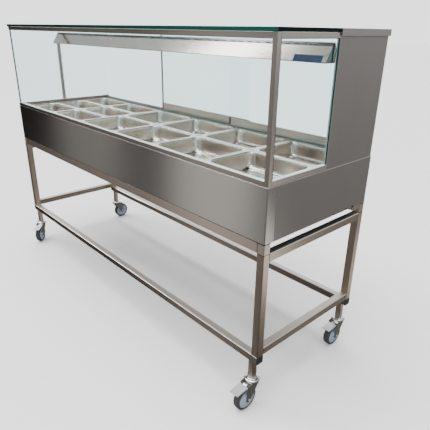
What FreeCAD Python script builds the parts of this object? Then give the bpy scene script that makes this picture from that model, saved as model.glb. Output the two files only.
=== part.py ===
import FreeCAD, Part
import math
import os
from types import SimpleNamespace

import Sketcher
from FreeCAD import Placement, Rotation, Vector

# Heated buffet display cart: a six-module heated food bar on a square-tube stand with braked casters.
# Frame: origin on the floor under the middle, +X along the length to the service column, -Y to the
# customers' glass, +Y to the server's doors, +Z up. Millimetres.

DIMENSIONS = {
    # Stand
    "length": 2020,
    "depth": 610,
    "tube": 32,
    "tube_wall": 1.5,
    "tube_round": 2.5,
    "upper_rail_height": 40,
    "leg_length": 417,
    "plug_head": 3,
    "plug_depth": 12,
    "stub_width": 25,
    "stub_length": 80,
    "stub_inset": 34,
    # Casters
    "caster_height": 128,
    "caster_trail": 36,
    "wheel_radius": 50,
    "tyre_width": 30,
    "rim_radius": 40,
    "rim_width": 24,
    "boss_radius": 12,
    "boss_width": 37.2,
    "axle_radius": 4,
    "running_gap": 0.06,
    "head_radius": 30,
    "head_sheet": 4,
    "race_radius": 18,
    "race_height": 6,
    "fork_gap": 38,
    "fork_sheet": 3,
    "pedal_width": 40,
    "pedal_length": 55,
    "pedal_sheet": 3,
    "pivot_back": 31,
    "pivot_height": 105,
    "pivot_radius": 2.5,
    "lug_drop": 3.6,
    "lug_width": 16,
    # Body
    "body_height": 195,
    "sheet_metal": 1.2,
    "bend": 2.4,
    "corner_return": 44,
    "rear_return": 20,
    "base_upstand": 22,
    "well_drop": 120,
    "element_radius": 4,
    "element_spread": 220,
    # Pans
    "module": 325,
    "well_depth": 530,
    "pan_gap": 1,
    "pan_drop": 65,
    "pan_lean": 5,
    "pan_lip": 12,
    "pan_sheet": 1,
    "bowl_corner": 40,
    "lip_corner": 20,
    "bar_width": 16,
    "bar_height": 18,
    # Canopy
    "canopy_height": 457,
    "ledge": 2,
    "overhang": 3,
    "glass_tube": 18,
    "glass_tube_wall": 1.2,
    "glass": 6,
    "top_glass": 12,
    "cover_fold": 23,
    "cover_gap": 0.4,
    "column_hem": 12,
    "column_jamb": 80,
    "post_width": 12,
    "post_offset": 18,
    # Heat hood, measured from the middle of the cart's depth
    "hood_bottom": 353,
    "hood_height": 62,
    "hood_front": 50,
    "hood_top_front": 12,
    "hood_top_back": 6,
    "hood_back": 24,
    "slot_length": 24,
    "slot_width": 4,
    "slot_pitch": 44,
    "lamp_radius": 5,
    # Rear doors
    "door_width": 683,
    "door_glass": 5,
    "door_rail": 40,
    "door_rail_width": 7,
    "door_seat": 12,
    "track_fin": 2,
    "track_groove": 9.3,
    "track_height": 10,
    # Controls on the server's side
    "knob_radius": 20,
    "knob_height": 20,
    "spindle_radius": 3,
}

COLUMNS = 6
THREE_PAN_COLUMNS = 2
HOOD_SLOTS = 44
LAMPS = 4
# Flats that stand for a round: on caster heads and wheels, on tyres, and on lamps, hubs and knob grips.
ROUND_SIDES = 24
TYRE_SIDES = 32
SMALL_ROUND_SIDES = 12
# Flats in a turn: at one corner of a pan, in the bend of a heating element and in a folded sheet.
PAN_CORNER_FLATS = 4
ELEMENT_BEND_FLATS = 8
SHEET_BEND_FLATS = 3
# Vents in the end panels, by their distance from the middle as a share of half the depth.
VENTS = (0.24, 0.53, 0.68)
# Controls on the server's side, by their distance from the middle as a share of half the length.
CONTROLS = {"thermostat_knob": 0.62, "lamp_knob": 0.52}
# Plan angles in degrees of the four casters at rest: zero trails towards the customers.
CASTER_TURNS = {"fr": 0, "br": 0, "bl": 180, "fl": 45}
CASTER_SIDES = {"fr": (1, -1), "br": (1, 1), "bl": (-1, 1), "fl": (-1, -1)}

doc = FreeCAD.newDocument("heated_display_cart")
sheet = doc.addObject("Spreadsheet::Sheet", "Sizes")
nodes = []


class Size:
    """A length: its value in millimetres and the spreadsheet expression that gives it."""

    def __init__(self, value, text):
        self.value = value
        self.text = text

    def __add__(self, other):
        other = as_size(other)
        return Size(self.value + other.value, f"({self.text} + {other.text})")

    def __radd__(self, other):
        return as_size(other) + self

    def __sub__(self, other):
        other = as_size(other)
        return Size(self.value - other.value, f"({self.text} - {other.text})")

    def __rsub__(self, other):
        return as_size(other) - self

    def __mul__(self, factor):
        return Size(self.value * factor, f"({self.text} * {factor})")

    __rmul__ = __mul__

    def __truediv__(self, divisor):
        return Size(self.value / divisor, f"({self.text} / {divisor})")

    def __neg__(self):
        return self * -1


def as_size(value):
    """A plain number as a Size, and a Size as it is."""
    if isinstance(value, Size):
        return value
    return Size(float(value), str(float(value)))


def fill_sheet():
    """Write every driving dimension to the spreadsheet and return them as sizes."""
    for row, (alias, value) in enumerate(DIMENSIONS.items(), start=1):
        sheet.set(f"A{row}", alias)
        sheet.set(f"B{row}", str(value))
        sheet.setAlias(f"B{row}", alias)
    doc.recompute()
    return SimpleNamespace(**{a: Size(v, f"Sizes.{a}") for a, v in DIMENSIONS.items()})


s = fill_sheet()

# Heights above the floor and half sizes that the pieces share.
half_length = s.length / 2
half_depth = s.depth / 2
rail_bottom = s.caster_height + s.stub_length
leg_bottom = rail_bottom + s.tube
leg_top = leg_bottom + s.leg_length
body_bottom = leg_top + s.upper_rail_height
body_top = body_bottom + s.body_height
canopy_top = body_top + s.canopy_height
glass_foot = body_top + s.glass_tube
frame_top = canopy_top - s.top_glass
glass_head = frame_top - s.glass_tube
leg_x = half_length - s.tube / 2
leg_y = half_depth - s.tube / 2
stub_x = half_length - s.stub_inset
canopy_x = half_length - s.ledge
canopy_y = half_depth - s.ledge
frame_x = canopy_x - s.glass_tube / 2
frame_y = canopy_y - s.glass_tube / 2
control_height = s.body_height * 0.45
track_width = s.track_fin * 4 + s.track_groove * 3
track_start = canopy_y - s.sheet_metal - 0.3 - track_width
tub_length = s.module * COLUMNS - s.pan_lip * 1.5
tub_depth = s.well_depth - s.pan_lip * 1.5
sheet_fold = s.bend + s.sheet_metal


def bind(thing, prop, value):
    """Bind a property to a size, or to a plain number's expression."""
    thing.setExpression(prop, as_size(value).text)


def place(thing, x, y, z, rotation=None):
    """Turn an object and bind its position."""
    if rotation is not None:
        thing.Placement = Placement(Vector(), rotation)
    for axis, value in zip("xyz", (x, y, z)):
        bind(thing, f"Placement.Base.{axis}", value)
    return thing


def node(thing, label):
    """Mark an object as a sub-part that is written under its label."""
    thing.Label = label
    nodes.append(thing)
    return thing


def new_body(name):
    return doc.addObject("PartDesign::Body", name)


def new_sketch(owner, role="XY_Plane"):
    """A sketch on one of the body's own origin planes."""
    sketch = owner.newObject("Sketcher::SketchObject", owner.Name + "_sketch")
    plane = next(f for f in owner.Origin.OriginFeatures if f.Role == role)
    sketch.AttachmentSupport = [(plane, "")]
    sketch.MapMode = "FlatFace"
    return sketch


def hold(sketch, kind, geometry, point, value):
    """Hold a point at a bound distance from the sketch's origin."""
    value = as_size(value)
    index = sketch.addConstraint(Sketcher.Constraint(kind, -1, 1, geometry, point, value.value))
    sketch.setExpression(f"Constraints[{index}]", value.text)


def outline(sketch, corners):
    """Draw a closed straight-sided outline with every corner held from the origin."""
    corners = [(as_size(x), as_size(y)) for x, y in corners]
    first = sketch.GeometryCount
    count = len(corners)
    for index, (x, y) in enumerate(corners):
        next_x, next_y = corners[(index + 1) % count]
        line = Part.LineSegment(Vector(x.value, y.value, 0), Vector(next_x.value, next_y.value, 0))
        sketch.addGeometry(line, False)
    for index in range(count):
        following = first + (index + 1) % count
        sketch.addConstraint(Sketcher.Constraint("Coincident", first + index, 2, following, 1))
    for index, (x, y) in enumerate(corners):
        hold(sketch, "DistanceX", first + index, 1, x)
        hold(sketch, "DistanceY", first + index, 1, y)
    return sketch


def rectangle(sketch, x_low, y_low, x_high, y_high):
    return outline(sketch, [(x_low, y_low), (x_high, y_low), (x_high, y_high), (x_low, y_high)])


def around(centre, radius, angle):
    """A point at an angle in degrees on a circle about a centre."""
    turn = math.radians(angle)
    x, y = centre
    return x + radius * round(math.cos(turn), 6), y + radius * round(math.sin(turn), 6)


def turn_points(centre, radius, start, stop, flats=SHEET_BEND_FLATS):
    """Points that turn about a centre in a number of flats, between two angles in degrees."""
    return [around(centre, radius, start + (stop - start) * step / flats) for step in range(flats + 1)]


def eased_rectangle(sketch, width, height, radius, flats=1):
    """Draw a rectangle about the sketch's origin with each corner turned in a number of flats."""
    corners = []
    for quarter, (side_x, side_y) in enumerate([(1, 1), (-1, 1), (-1, -1), (1, -1)]):
        centre = ((width / 2 - radius) * side_x, (height / 2 - radius) * side_y)
        corners += turn_points(centre, radius, 90 * quarter, 90 * (quarter + 1), flats)
    return outline(sketch, corners)


def polygon(sketch, centre, radius, sides):
    """Draw a regular polygon with corners at a radius from its centre."""
    return outline(sketch, [around(centre, radius, 360 * side / sides) for side in range(sides)])


def circle(sketch, x, y, radius):
    """Draw a circle at a held centre."""
    x, y, radius = as_size(x), as_size(y), as_size(radius)
    centre = Vector(x.value, y.value, 0)
    index = sketch.addGeometry(Part.Circle(centre, Vector(0, 0, 1), radius.value), False)
    hold(sketch, "DistanceX", index, 3, x)
    hold(sketch, "DistanceY", index, 3, y)
    radius_index = sketch.addConstraint(Sketcher.Constraint("Radius", index, radius.value))
    sketch.setExpression(f"Constraints[{radius_index}]", radius.text)
    return sketch


def pad(owner, sketch, length, down=False, both=False):
    """Raise a sketch into a solid."""
    feature = owner.newObject("PartDesign::Pad", owner.Name + "_pad")
    feature.Profile = sketch
    bind(feature, "Length", length)
    feature.Reversed = down
    feature.Midplane = both
    return feature


def pocket(owner, sketch, depth, up=False, both=False):
    """Cut a sketch out of the solid, and make sure that it removes material."""
    doc.recompute()
    before = owner.Shape.Volume
    feature = owner.newObject("PartDesign::Pocket", owner.Name + "_pocket")
    feature.Profile = sketch
    bind(feature, "Length", depth)
    feature.Reversed = up
    feature.Midplane = both
    doc.recompute()
    if owner.Shape.Volume >= before:
        raise RuntimeError(f"pocket in {owner.Name} cuts nothing")
    return feature


def lean_in(owner, angle):
    """Lean the upright faces of a body inwards below its XY plane."""
    doc.recompute()
    raised = owner.Tip
    faces = enumerate(raised.Shape.Faces, start=1)
    upright = [f"Face{number}" for number, face in faces if abs(face.normalAt(0, 0).z) < 0.1]
    feature = owner.newObject("PartDesign::Draft", owner.Name + "_draft")
    feature.Base = (raised, upright)
    plane = next(f for f in owner.Origin.OriginFeatures if f.Role == "XY_Plane")
    feature.NeutralPlane = (plane, [""])
    feature.Reversed = True
    bind(feature, "Angle", angle)
    return feature


def box(name, size, corner):
    """A plain rectangular piece with its lowest corner at a bound place."""
    thing = doc.addObject("Part::Box", name)
    for prop, value in zip(("Length", "Width", "Height"), size):
        bind(thing, prop, value)
    return place(thing, *corner)


def copy_of(master, x, y, z, rotation=None):
    """The master's solid at another place."""
    thing = doc.addObject("Part::Compound", master.Name + "_copy")
    thing.Links = [master]
    return place(thing, x, y, z, rotation)


def group(name, things):
    """Separate solids that share one sub-part."""
    thing = doc.addObject("Part::Compound", name)
    thing.Links = things
    return thing


def bore_outline(sketch, width, height, wall):
    """Draw the bore of a rectangular tube about the sketch's origin."""
    return rectangle(sketch, wall - width / 2, wall - height / 2, width / 2 - wall, height / 2 - wall)


def stand_tube(name, role, length, width=s.tube, height=s.tube):
    """An open rectangular tube about the origin, along the normal of one origin plane."""
    owner = new_body(name)
    sketch = eased_rectangle(new_sketch(owner, role), width, height, s.tube_round)
    bore_outline(sketch, width, height, s.tube_wall)
    pad(owner, sketch, length, both=True)
    return owner


def frame_tube(name, role, length, width=s.glass_tube):
    """A thin tube about the origin, along a plane's normal, with its end against the normal closed."""
    owner = new_body(name)
    wall = s.glass_tube_wall
    pad(owner, eased_rectangle(new_sketch(owner, role), width, s.glass_tube, wall), length, both=True)
    bore = bore_outline(new_sketch(owner, role), width, s.glass_tube, wall)
    place_plane(bore, length / 2)
    pocket(owner, bore, length - wall)
    return owner


def corner_signs():
    return [(sx, sy) for sx in (-1, 1) for sy in (-1, 1)]


def build_stand():
    """Legs with their corner blocks, the rails, the end plugs and the caster stubs."""
    leg = stand_tube("leg", "XY_Plane", s.leg_length)
    block = stand_tube("corner_block", "XY_Plane", s.upper_rail_height)
    leg_parts = []
    for sx, sy in corner_signs():
        leg_parts.append(copy_of(leg, leg_x * sx, leg_y * sy, leg_bottom + s.leg_length / 2))
        leg_parts.append(copy_of(block, leg_x * sx, leg_y * sy, leg_top + s.upper_rail_height / 2))
    node(group("leg_group", leg_parts), "legs")

    end_span = s.depth - s.tube * 2
    end_rail = stand_tube("end_rail", "XZ_Plane", end_span)
    upper_rail = stand_tube("upper_rail", "YZ_Plane", s.length - s.tube * 2, height=s.upper_rail_height)
    lower_rail = stand_tube("lower_rail", "YZ_Plane", s.length - s.plug_head * 2)
    upper = []
    lower = []
    for side in (-1, 1):
        upper.append(copy_of(upper_rail, 0, leg_y * side, leg_top + s.upper_rail_height / 2))
        upper.append(copy_of(end_rail, leg_x * side, 0, leg_top - s.tube / 2))
        lower.append(copy_of(lower_rail, 0, leg_y * side, rail_bottom + s.tube / 2))
        lower.append(copy_of(end_rail, leg_x * side, 0, leg_bottom + s.tube / 2))
    node(group("upper_rail_group", upper), "upper_rails")
    node(group("lower_rail_group", lower), "lower_rails")

    plug = new_body("plug")
    head = eased_rectangle(new_sketch(plug, "YZ_Plane"), s.tube, s.tube, s.tube_round)
    pad(plug, head, s.plug_head)
    inner = s.tube / 2 - s.tube_wall
    spigot = rectangle(new_sketch(plug, "YZ_Plane"), -inner, -inner, inner, inner)
    pad(plug, spigot, s.plug_depth, down=True)
    plugs = []
    for sx, sy in corner_signs():
        turn = Rotation(Vector(0, 0, 1), 0 if sx > 0 else 180)
        rail_end = (half_length - s.plug_head) * sx
        plugs.append(copy_of(plug, rail_end, leg_y * sy, rail_bottom + s.tube / 2, turn))
    node(group("plug_group", plugs), "rail_end_plugs")

    stub = stand_tube("stub", "XY_Plane", s.stub_length, s.stub_width, s.stub_width)
    stubs = [
        copy_of(stub, stub_x * sx, leg_y * sy, s.caster_height + s.stub_length / 2)
        for sx, sy in corner_signs()
    ]
    node(group("stub_group", stubs), "caster_stubs")


def build_caster_masters():
    """One caster about its swivel axis, trailing towards -Y: head, fork with axle, wheel, tyre and pedal."""
    head_bottom = s.caster_height - s.head_sheet
    race_bottom = head_bottom - s.race_height
    crown_top = race_bottom - 0.4
    crown_bottom = crown_top - s.fork_sheet * 2

    across = s.fork_gap + s.fork_sheet * 2
    axle = (-s.caster_trail, s.wheel_radius)
    pivot = (-s.pivot_back, s.pivot_height)

    head = new_body("caster_head")
    pad(head, polygon(new_sketch(head), (0, 0), s.head_radius, ROUND_SIDES), s.head_sheet, down=True)
    race = circle(new_sketch(head), 0, 0, s.race_radius)
    pad(head, race, s.head_sheet + s.race_height, down=True)

    fork = new_body("caster_fork_form")
    crown = eased_rectangle(new_sketch(fork), across, s.race_radius * 2, s.race_radius / 2)
    pad(fork, crown, crown_top - crown_bottom)
    place_plane(crown, crown_bottom)
    boss = s.axle_radius * 3.2
    cheek = new_sketch(fork, "YZ_Plane")
    outline(cheek, [
        (s.race_radius, crown_top),
        (s.race_radius, crown_bottom - s.fork_sheet),
        (axle[0] + boss * 0.8, axle[1] - boss * 0.6),
        (axle[0], axle[1] - boss),
        (axle[0] - boss * 0.8, axle[1] - boss * 0.6),
        (axle[0] - boss, axle[1] + boss * 0.2),
        (pivot[0] - s.pivot_radius * 3, pivot[1] - s.pivot_radius * 2),
        (pivot[0] - s.pivot_radius * 3, crown_top - s.fork_sheet),
        (-s.race_radius, crown_top),
    ])
    pad(fork, cheek, across, both=True)
    nuts = polygon(new_sketch(fork, "YZ_Plane"), axle, s.axle_radius * 1.7, 6)
    pad(fork, nuts, across + s.axle_radius * 2, both=True)
    slot = new_sketch(fork, "YZ_Plane")
    reach = s.wheel_radius * 3
    rectangle(slot, -reach, -reach, reach, crown_bottom)
    pocket(fork, slot, s.fork_gap, both=True)
    mouth = new_sketch(fork, "YZ_Plane")
    rectangle(mouth, -reach, crown_bottom - 1, -s.race_radius, s.caster_height)
    pocket(fork, mouth, s.fork_gap, both=True)
    shafts = new_sketch(fork, "YZ_Plane")
    circle(shafts, *axle, s.axle_radius)
    circle(shafts, *pivot, s.pivot_radius)
    pad(fork, shafts, s.fork_gap + s.fork_sheet, both=True)

    wheel = new_body("wheel_centre_form")
    rim = polygon(new_sketch(wheel, "YZ_Plane"), axle, s.rim_radius - 0.05, ROUND_SIDES)
    pad(wheel, rim, s.rim_width, both=True)
    hub = polygon(new_sketch(wheel, "YZ_Plane"), axle, s.boss_radius, SMALL_ROUND_SIDES)
    pad(wheel, hub, s.boss_width, both=True)
    bore = circle(new_sketch(wheel, "YZ_Plane"), *axle, s.axle_radius + s.running_gap)
    pocket(wheel, bore, s.boss_width * 2, both=True)

    tyre = new_body("tyre_form")
    ring = polygon(new_sketch(tyre, "YZ_Plane"), axle, s.wheel_radius, TYRE_SIDES)
    polygon(ring, axle, s.rim_radius, ROUND_SIDES)
    pad(tyre, ring, s.tyre_width, both=True)

    pedal = new_body("pedal_form")
    side = new_sketch(pedal, "YZ_Plane")
    plate_y = pivot[0] - s.pivot_radius * 4
    end_y = plate_y - s.pedal_length
    drop = s.pedal_sheet * 2
    outline(side, [
        (plate_y, pivot[1] + s.pedal_sheet),
        (plate_y, pivot[1]),
        (end_y, pivot[1] - drop),
        (end_y, pivot[1] - drop + s.pedal_sheet),
    ])
    pad(pedal, side, s.pedal_width, both=True)
    lug = new_sketch(pedal, "YZ_Plane")
    outline(lug, [
        (pivot[0] + s.pivot_radius * 2, pivot[1] - s.lug_drop),
        (pivot[0] + s.pivot_radius * 2, pivot[1] + s.pivot_radius * 2),
        (pivot[0] - s.pivot_radius * 2, pivot[1] + s.pivot_radius * 2),
        (plate_y - s.pedal_sheet, pivot[1] + s.pedal_sheet / 2),
        (plate_y - s.pedal_sheet, pivot[1]),
        (pivot[0] - s.pivot_radius * 2, pivot[1] - s.lug_drop),
    ])
    pad(pedal, lug, s.lug_width, both=True)
    eye = circle(new_sketch(pedal, "YZ_Plane"), *pivot, s.pivot_radius + s.running_gap)
    pocket(pedal, eye, s.lug_width * 2, both=True)
    return head, {"caster_fork": fork, "wheel_centre": wheel, "tyre": tyre, "brake_pedal": pedal}


def place_plane(sketch, height):
    """Lift a sketch off its origin plane by a bound height."""
    bind(sketch, "AttachmentOffset.Base.z", height)


def build_casters():
    """Four casters: the fixed heads share a sub-part, the moving pieces are separate."""
    head, movers = build_caster_masters()
    heads = [copy_of(head, stub_x * sx, leg_y * sy, s.caster_height) for sx, sy in CASTER_SIDES.values()]
    node(group("head_group", heads), "caster_heads")
    for corner, (sx, sy) in CASTER_SIDES.items():
        turn = Rotation(Vector(0, 0, 1), CASTER_TURNS[corner])
        for name, master in movers.items():
            node(copy_of(master, stub_x * sx, leg_y * sy, 0, turn), f"{name}_{corner}")


def build_panels():
    """The folded sheet-metal skin of the body and its base pan."""
    front = new_body("front_panel_form")
    front_y = -half_depth
    inside = half_length - s.sheet_metal
    return_y = front_y + s.corner_return
    left_fold = (sheet_fold - half_length, front_y + sheet_fold)
    right_fold = (half_length - sheet_fold, front_y + sheet_fold)
    plan = new_sketch(front)
    outline(plan, [
        (-half_length, return_y),
        *turn_points(left_fold, sheet_fold, 180, 270),
        *turn_points(right_fold, sheet_fold, 270, 360),
        (half_length, return_y),
        (inside, return_y),
        *turn_points(right_fold, s.bend, 360, 270),
        *turn_points(left_fold, s.bend, 270, 180),
        (-inside, return_y),
    ])
    pad(front, plan, s.body_height)
    node(place(front, 0, 0, body_bottom), "front_panel")

    seam = 0.6
    end = new_body("end_panel_form")
    end_plan = new_sketch(end)
    rear_x = half_length - s.rear_return
    rear_fold = (half_length - sheet_fold, half_depth - sheet_fold)
    outline(end_plan, [
        (half_length, return_y + seam),
        *turn_points(rear_fold, sheet_fold, 0, 90),
        (rear_x, half_depth),
        (rear_x, half_depth - s.sheet_metal),
        *turn_points(rear_fold, s.bend, 90, 0),
        (inside, return_y + seam),
    ])
    pad(end, end_plan, s.body_height)
    cut_vents(end, -s.sheet_metal)
    mirrored = doc.addObject("Part::Mirroring", "end_panel_mirror")
    mirrored.Source = end
    mirrored.Normal = Vector(1, 0, 0)
    node(place(group("end_panel_group", [end, mirrored]), 0, 0, body_bottom), "end_panels")

    rear = new_body("rear_panel_form")
    face = new_sketch(rear, "XZ_Plane")
    rear_half = rear_x - seam
    rectangle(face, -rear_half, 0, rear_half, s.body_height)
    pad(rear, face, s.sheet_metal)
    openings = new_sketch(rear, "XZ_Plane")
    for control_x in CONTROLS.values():
        circle(openings, -half_length * control_x, control_height, s.spindle_radius + s.running_gap)
    circle(openings, -half_length * 0.86, s.body_height * 0.25, s.knob_radius / 2)
    pocket(rear, openings, s.sheet_metal * 4, both=True)
    turn = Rotation(Vector(0, 0, 1), 180)
    node(place(rear, 0, half_depth - s.sheet_metal, body_bottom, turn), "rear_panel")

    pan = new_body("base_pan_form")
    pan_width = s.length - s.sheet_metal * 2
    pan_depth = s.depth - s.sheet_metal * 2
    pad(pan, eased_rectangle(new_sketch(pan), pan_width, pan_depth, s.bend), s.base_upstand)
    hollow = new_sketch(pan)
    eased_rectangle(hollow, pan_width - s.sheet_metal * 2, pan_depth - s.sheet_metal * 2, s.sheet_metal)
    place_plane(hollow, s.sheet_metal)
    pocket(pan, hollow, s.base_upstand, up=True)
    cut_vents(pan, s.sheet_metal)
    node(place(pan, 0, 0, body_bottom), "base_pan")


def cut_vents(owner, bottom):
    """Cut the vents through the end walls of a body, from a height up."""
    vents = new_sketch(owner, "YZ_Plane")
    width = s.sheet_metal * 10
    for share in VENTS:
        y = half_depth * share
        rectangle(vents, y, bottom, y + width, s.sheet_metal * 6)
    pocket(owner, vents, s.length * 2, both=True)


def build_well():
    """The deck with its heated tub, the bars between the pans and the heating elements."""
    deck = new_body("well_deck_form")
    wall = s.sheet_metal * 2
    plate = eased_rectangle(new_sketch(deck), s.length - wall, s.depth - wall, s.bend)
    pad(deck, plate, s.sheet_metal, down=True)
    tub = eased_rectangle(new_sketch(deck), tub_length + wall, tub_depth + wall, s.bend * 1.5)
    pad(deck, tub, s.well_drop, down=True)
    hollow = eased_rectangle(new_sketch(deck), tub_length, tub_depth, s.bend)
    pocket(deck, hollow, s.well_drop - s.sheet_metal)
    node(place(deck, 0, 0, body_top), "well_deck")

    edge_span = tub_length / 2 - s.module * (COLUMNS / 2 - 1) - s.bar_width / 2
    cross_bar = bar_form("cross_bar", tub_depth)
    inner_bar = bar_form("inner_bar", s.module - s.bar_width)
    edge_bar = bar_form("edge_bar", edge_span)
    quarter = Rotation(Vector(0, 0, 1), 90)
    bars = []
    for column in range(1, COLUMNS):
        x = s.module * (column - COLUMNS / 2)
        bars.append(copy_of(cross_bar, x, 0, body_top, quarter))
    for column in range(COLUMNS):
        rows = pan_rows(column)
        x = s.module * (column - COLUMNS / 2 + 0.5)
        short_bar = inner_bar
        if column == 0:
            x = (edge_span - tub_length) / 2
            short_bar = edge_bar
        elif column == COLUMNS - 1:
            x = (tub_length - edge_span) / 2
            short_bar = edge_bar
        for row in range(1, rows):
            bars.append(copy_of(short_bar, x, s.well_depth * (row / rows - 0.5), body_top))
    node(group("bar_group", bars), "pan_bars")

    element = new_body("element_form")
    end = tub_length / 2
    bend = (s.element_spread, as_size(0))
    radius = s.element_spread / 2
    hairpin = []
    for side in (1, -1):
        edge = radius + s.element_radius * side
        hairpin.append((end, edge * side))
        hairpin += turn_points(bend, edge, 180 - 90 * side, 180 + 90 * side, ELEMENT_BEND_FLATS)
        hairpin.append((end, -edge * side))
    pad(element, outline(new_sketch(element), hairpin), s.element_radius * 2, both=True)
    element_z = body_top - s.well_drop + s.element_radius * 4
    half_turn = Rotation(Vector(0, 0, 1), 180)
    elements = [copy_of(element, 0, 0, element_z), copy_of(element, 0, 0, element_z, half_turn)]
    node(group("element_group", elements), "heating_elements")


def bar_form(name, length):
    """A folded channel with its open side down, its top at z = 0, along X about the origin."""
    bar = new_body(name)
    section = new_sketch(bar, "YZ_Plane")
    half = s.bar_width / 2
    skin = s.sheet_metal
    outline(section, [
        (-half, 0),
        (-half, -s.bar_height),
        (skin - half, -s.bar_height),
        (skin - half, -skin),
        (half - skin, -skin),
        (half - skin, -s.bar_height),
        (half, -s.bar_height),
        (half, 0),
    ])
    pad(bar, section, length, both=True)
    return bar


def pan_rows(column):
    """How many pans stand one behind another in a column."""
    return 3 if column < THREE_PAN_COLUMNS else 2


def bowl_form(name, width, depth, corner, top, bottom):
    """A block with leaning walls, sized at z = 0, that is a pan's outside or the hollow in it."""
    bowl = new_body(name)
    sketch = eased_rectangle(new_sketch(bowl), width, depth, corner, PAN_CORNER_FLATS)
    place_plane(sketch, top)
    pad(bowl, sketch, top - bottom, down=True)
    lean_in(bowl, s.pan_lean)
    return bowl


def pan_master(rows):
    """A pressed food pan with leaning walls and a flat lip, its lip's underside at z = 0."""
    width = s.module - s.pan_gap
    depth = s.well_depth / rows - s.pan_gap
    mouth = [width - s.pan_lip * 2, depth - s.pan_lip * 2]
    inside = [size - s.pan_sheet * 2 for size in mouth]
    lip_height = s.pan_sheet * 1.5
    shell = bowl_form(f"pan_shell_{rows}", *mouth, s.bowl_corner, as_size(0), -s.pan_drop)
    lip = eased_rectangle(new_sketch(shell), width, depth, s.lip_corner, PAN_CORNER_FLATS)
    pad(shell, lip, lip_height)
    inner_corner = s.bowl_corner - s.pan_sheet
    floor = s.pan_sheet - s.pan_drop
    pan = doc.addObject("Part::Cut", f"pan_of_{rows}")
    pan.Base = shell
    pan.Tool = bowl_form(f"pan_hollow_{rows}", *inside, inner_corner, lip_height, floor)
    return pan


def build_pans():
    """Fourteen lift-out pans, named by column from the left and by place in the column."""
    masters = {rows: pan_master(rows) for rows in (2, 3)}
    names = {2: ("front", "rear"), 3: ("front", "middle", "rear")}
    for column in range(COLUMNS):
        rows = pan_rows(column)
        x = s.module * (column - COLUMNS / 2 + 0.5)
        for row, place_name in enumerate(names[rows]):
            y = s.well_depth * ((row + 0.5) / rows - 0.5)
            node(copy_of(masters[rows], x, y, body_top), f"pan_{column + 1}_{place_name}")


def build_glass_frame():
    """The square-tube frame of the canopy, the hood's left post and the glass."""
    long_span = canopy_x * 2 - s.glass_tube
    long_rail = frame_tube("frame_long_rail", "YZ_Plane", long_span)
    front_span = canopy_y - s.glass_tube
    front_rail = frame_tube("frame_end_rail", "XZ_Plane", front_span)
    left_rail = frame_tube("frame_left_rail", "XZ_Plane", canopy_y * 2 - s.glass_tube)
    corner_post = frame_tube("frame_corner_post", "XY_Plane", frame_top - body_top)
    low = body_top + s.glass_tube / 2
    high = frame_top - s.glass_tube / 2
    mid_y = -front_span / 2
    post_top = body_top + s.hood_bottom
    hood_post = frame_tube("hood_post", "XY_Plane", post_top - glass_foot, s.post_width)
    post_x = s.post_width / 2 + s.glass + 0.3 - canopy_x
    turned_over = Rotation(Vector(1, 0, 0), 180)
    parts = [
        copy_of(long_rail, -s.glass_tube / 2, -frame_y, low),
        copy_of(long_rail, -s.glass_tube / 2, -frame_y, high),
        copy_of(front_rail, frame_x, mid_y, low),
        copy_of(front_rail, frame_x, mid_y, high),
        copy_of(front_rail, -frame_x, mid_y, high),
        copy_of(left_rail, -frame_x, s.glass_tube / 2, low),
        copy_of(corner_post, frame_x, -frame_y, (body_top + frame_top) / 2, turned_over),
        copy_of(hood_post, post_x, -s.post_offset, (glass_foot + post_top) / 2, turned_over),
    ]
    node(group("glass_frame_group", parts), "glass_frame")

    rise = glass_head - glass_foot
    pane_y = -canopy_y + s.glass / 2
    front_corner = (-canopy_x, pane_y, glass_foot)
    node(box("front_pane", (long_span, s.glass, rise), front_corner), "front_glass")
    end_y = pane_y + s.glass
    end_x = canopy_x - s.glass
    right = box("right_pane", (s.glass, front_span, rise), (end_x, -front_span, glass_foot))
    left = box("left_pane", (s.glass, -end_y, rise), (-canopy_x, end_y, glass_foot))
    rear_rise = canopy_top - s.sheet_metal - glass_foot
    rear_span = canopy_y - s.glass
    rear_corner = (-canopy_x, s.glass / 2, glass_foot)
    left_rear = box("left_rear_pane", (s.glass, rear_span, rear_rise), rear_corner)
    node(group("end_glass_group", [right, left, left_rear]), "end_glass")
    node(box(
        "top_pane",
        (s.length + s.overhang * 2, half_depth + s.overhang, s.top_glass),
        (-half_length - s.overhang, -half_depth - s.overhang, frame_top),
    ), "top_glass")


def build_service_end():
    """The service column at the right end and the folded cover over the rear half."""
    column = new_body("service_column_form")
    plan = new_sketch(column)
    skin = s.sheet_metal
    front = s.cover_gap
    rear = canopy_y
    hem_x = canopy_x - s.column_hem
    jamb_x = canopy_x - s.column_jamb
    front_fold = (canopy_x - sheet_fold, front + sheet_fold)
    rear_fold = (canopy_x - sheet_fold, rear - sheet_fold)
    outline(plan, [
        (hem_x, front),
        *turn_points(front_fold, sheet_fold, 270, 360),
        *turn_points(rear_fold, sheet_fold, 0, 90),
        (jamb_x, rear),
        (jamb_x, rear - skin),
        *turn_points(rear_fold, s.bend, 90, 0),
        *turn_points(front_fold, s.bend, 360, 270),
        (hem_x, front + skin),
    ])
    pad(column, plan, canopy_top - s.sheet_metal - body_top)
    node(place(column, 0, 0, body_top), "service_column")

    cover = new_body("top_cover_form")
    width = s.length + s.overhang * 2
    depth = half_depth + s.overhang - front
    tray = rectangle(new_sketch(cover), -width / 2, -depth / 2, width / 2, depth / 2)
    pad(cover, tray, s.cover_fold, down=True)
    hollow = new_sketch(cover)
    rectangle(hollow, skin - width / 2, -depth, width / 2 - skin, depth / 2 - skin)
    place_plane(hollow, -skin)
    pocket(cover, hollow, s.cover_fold)
    node(place(cover, 0, depth / 2 + front, canopy_top), "top_cover")


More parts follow.
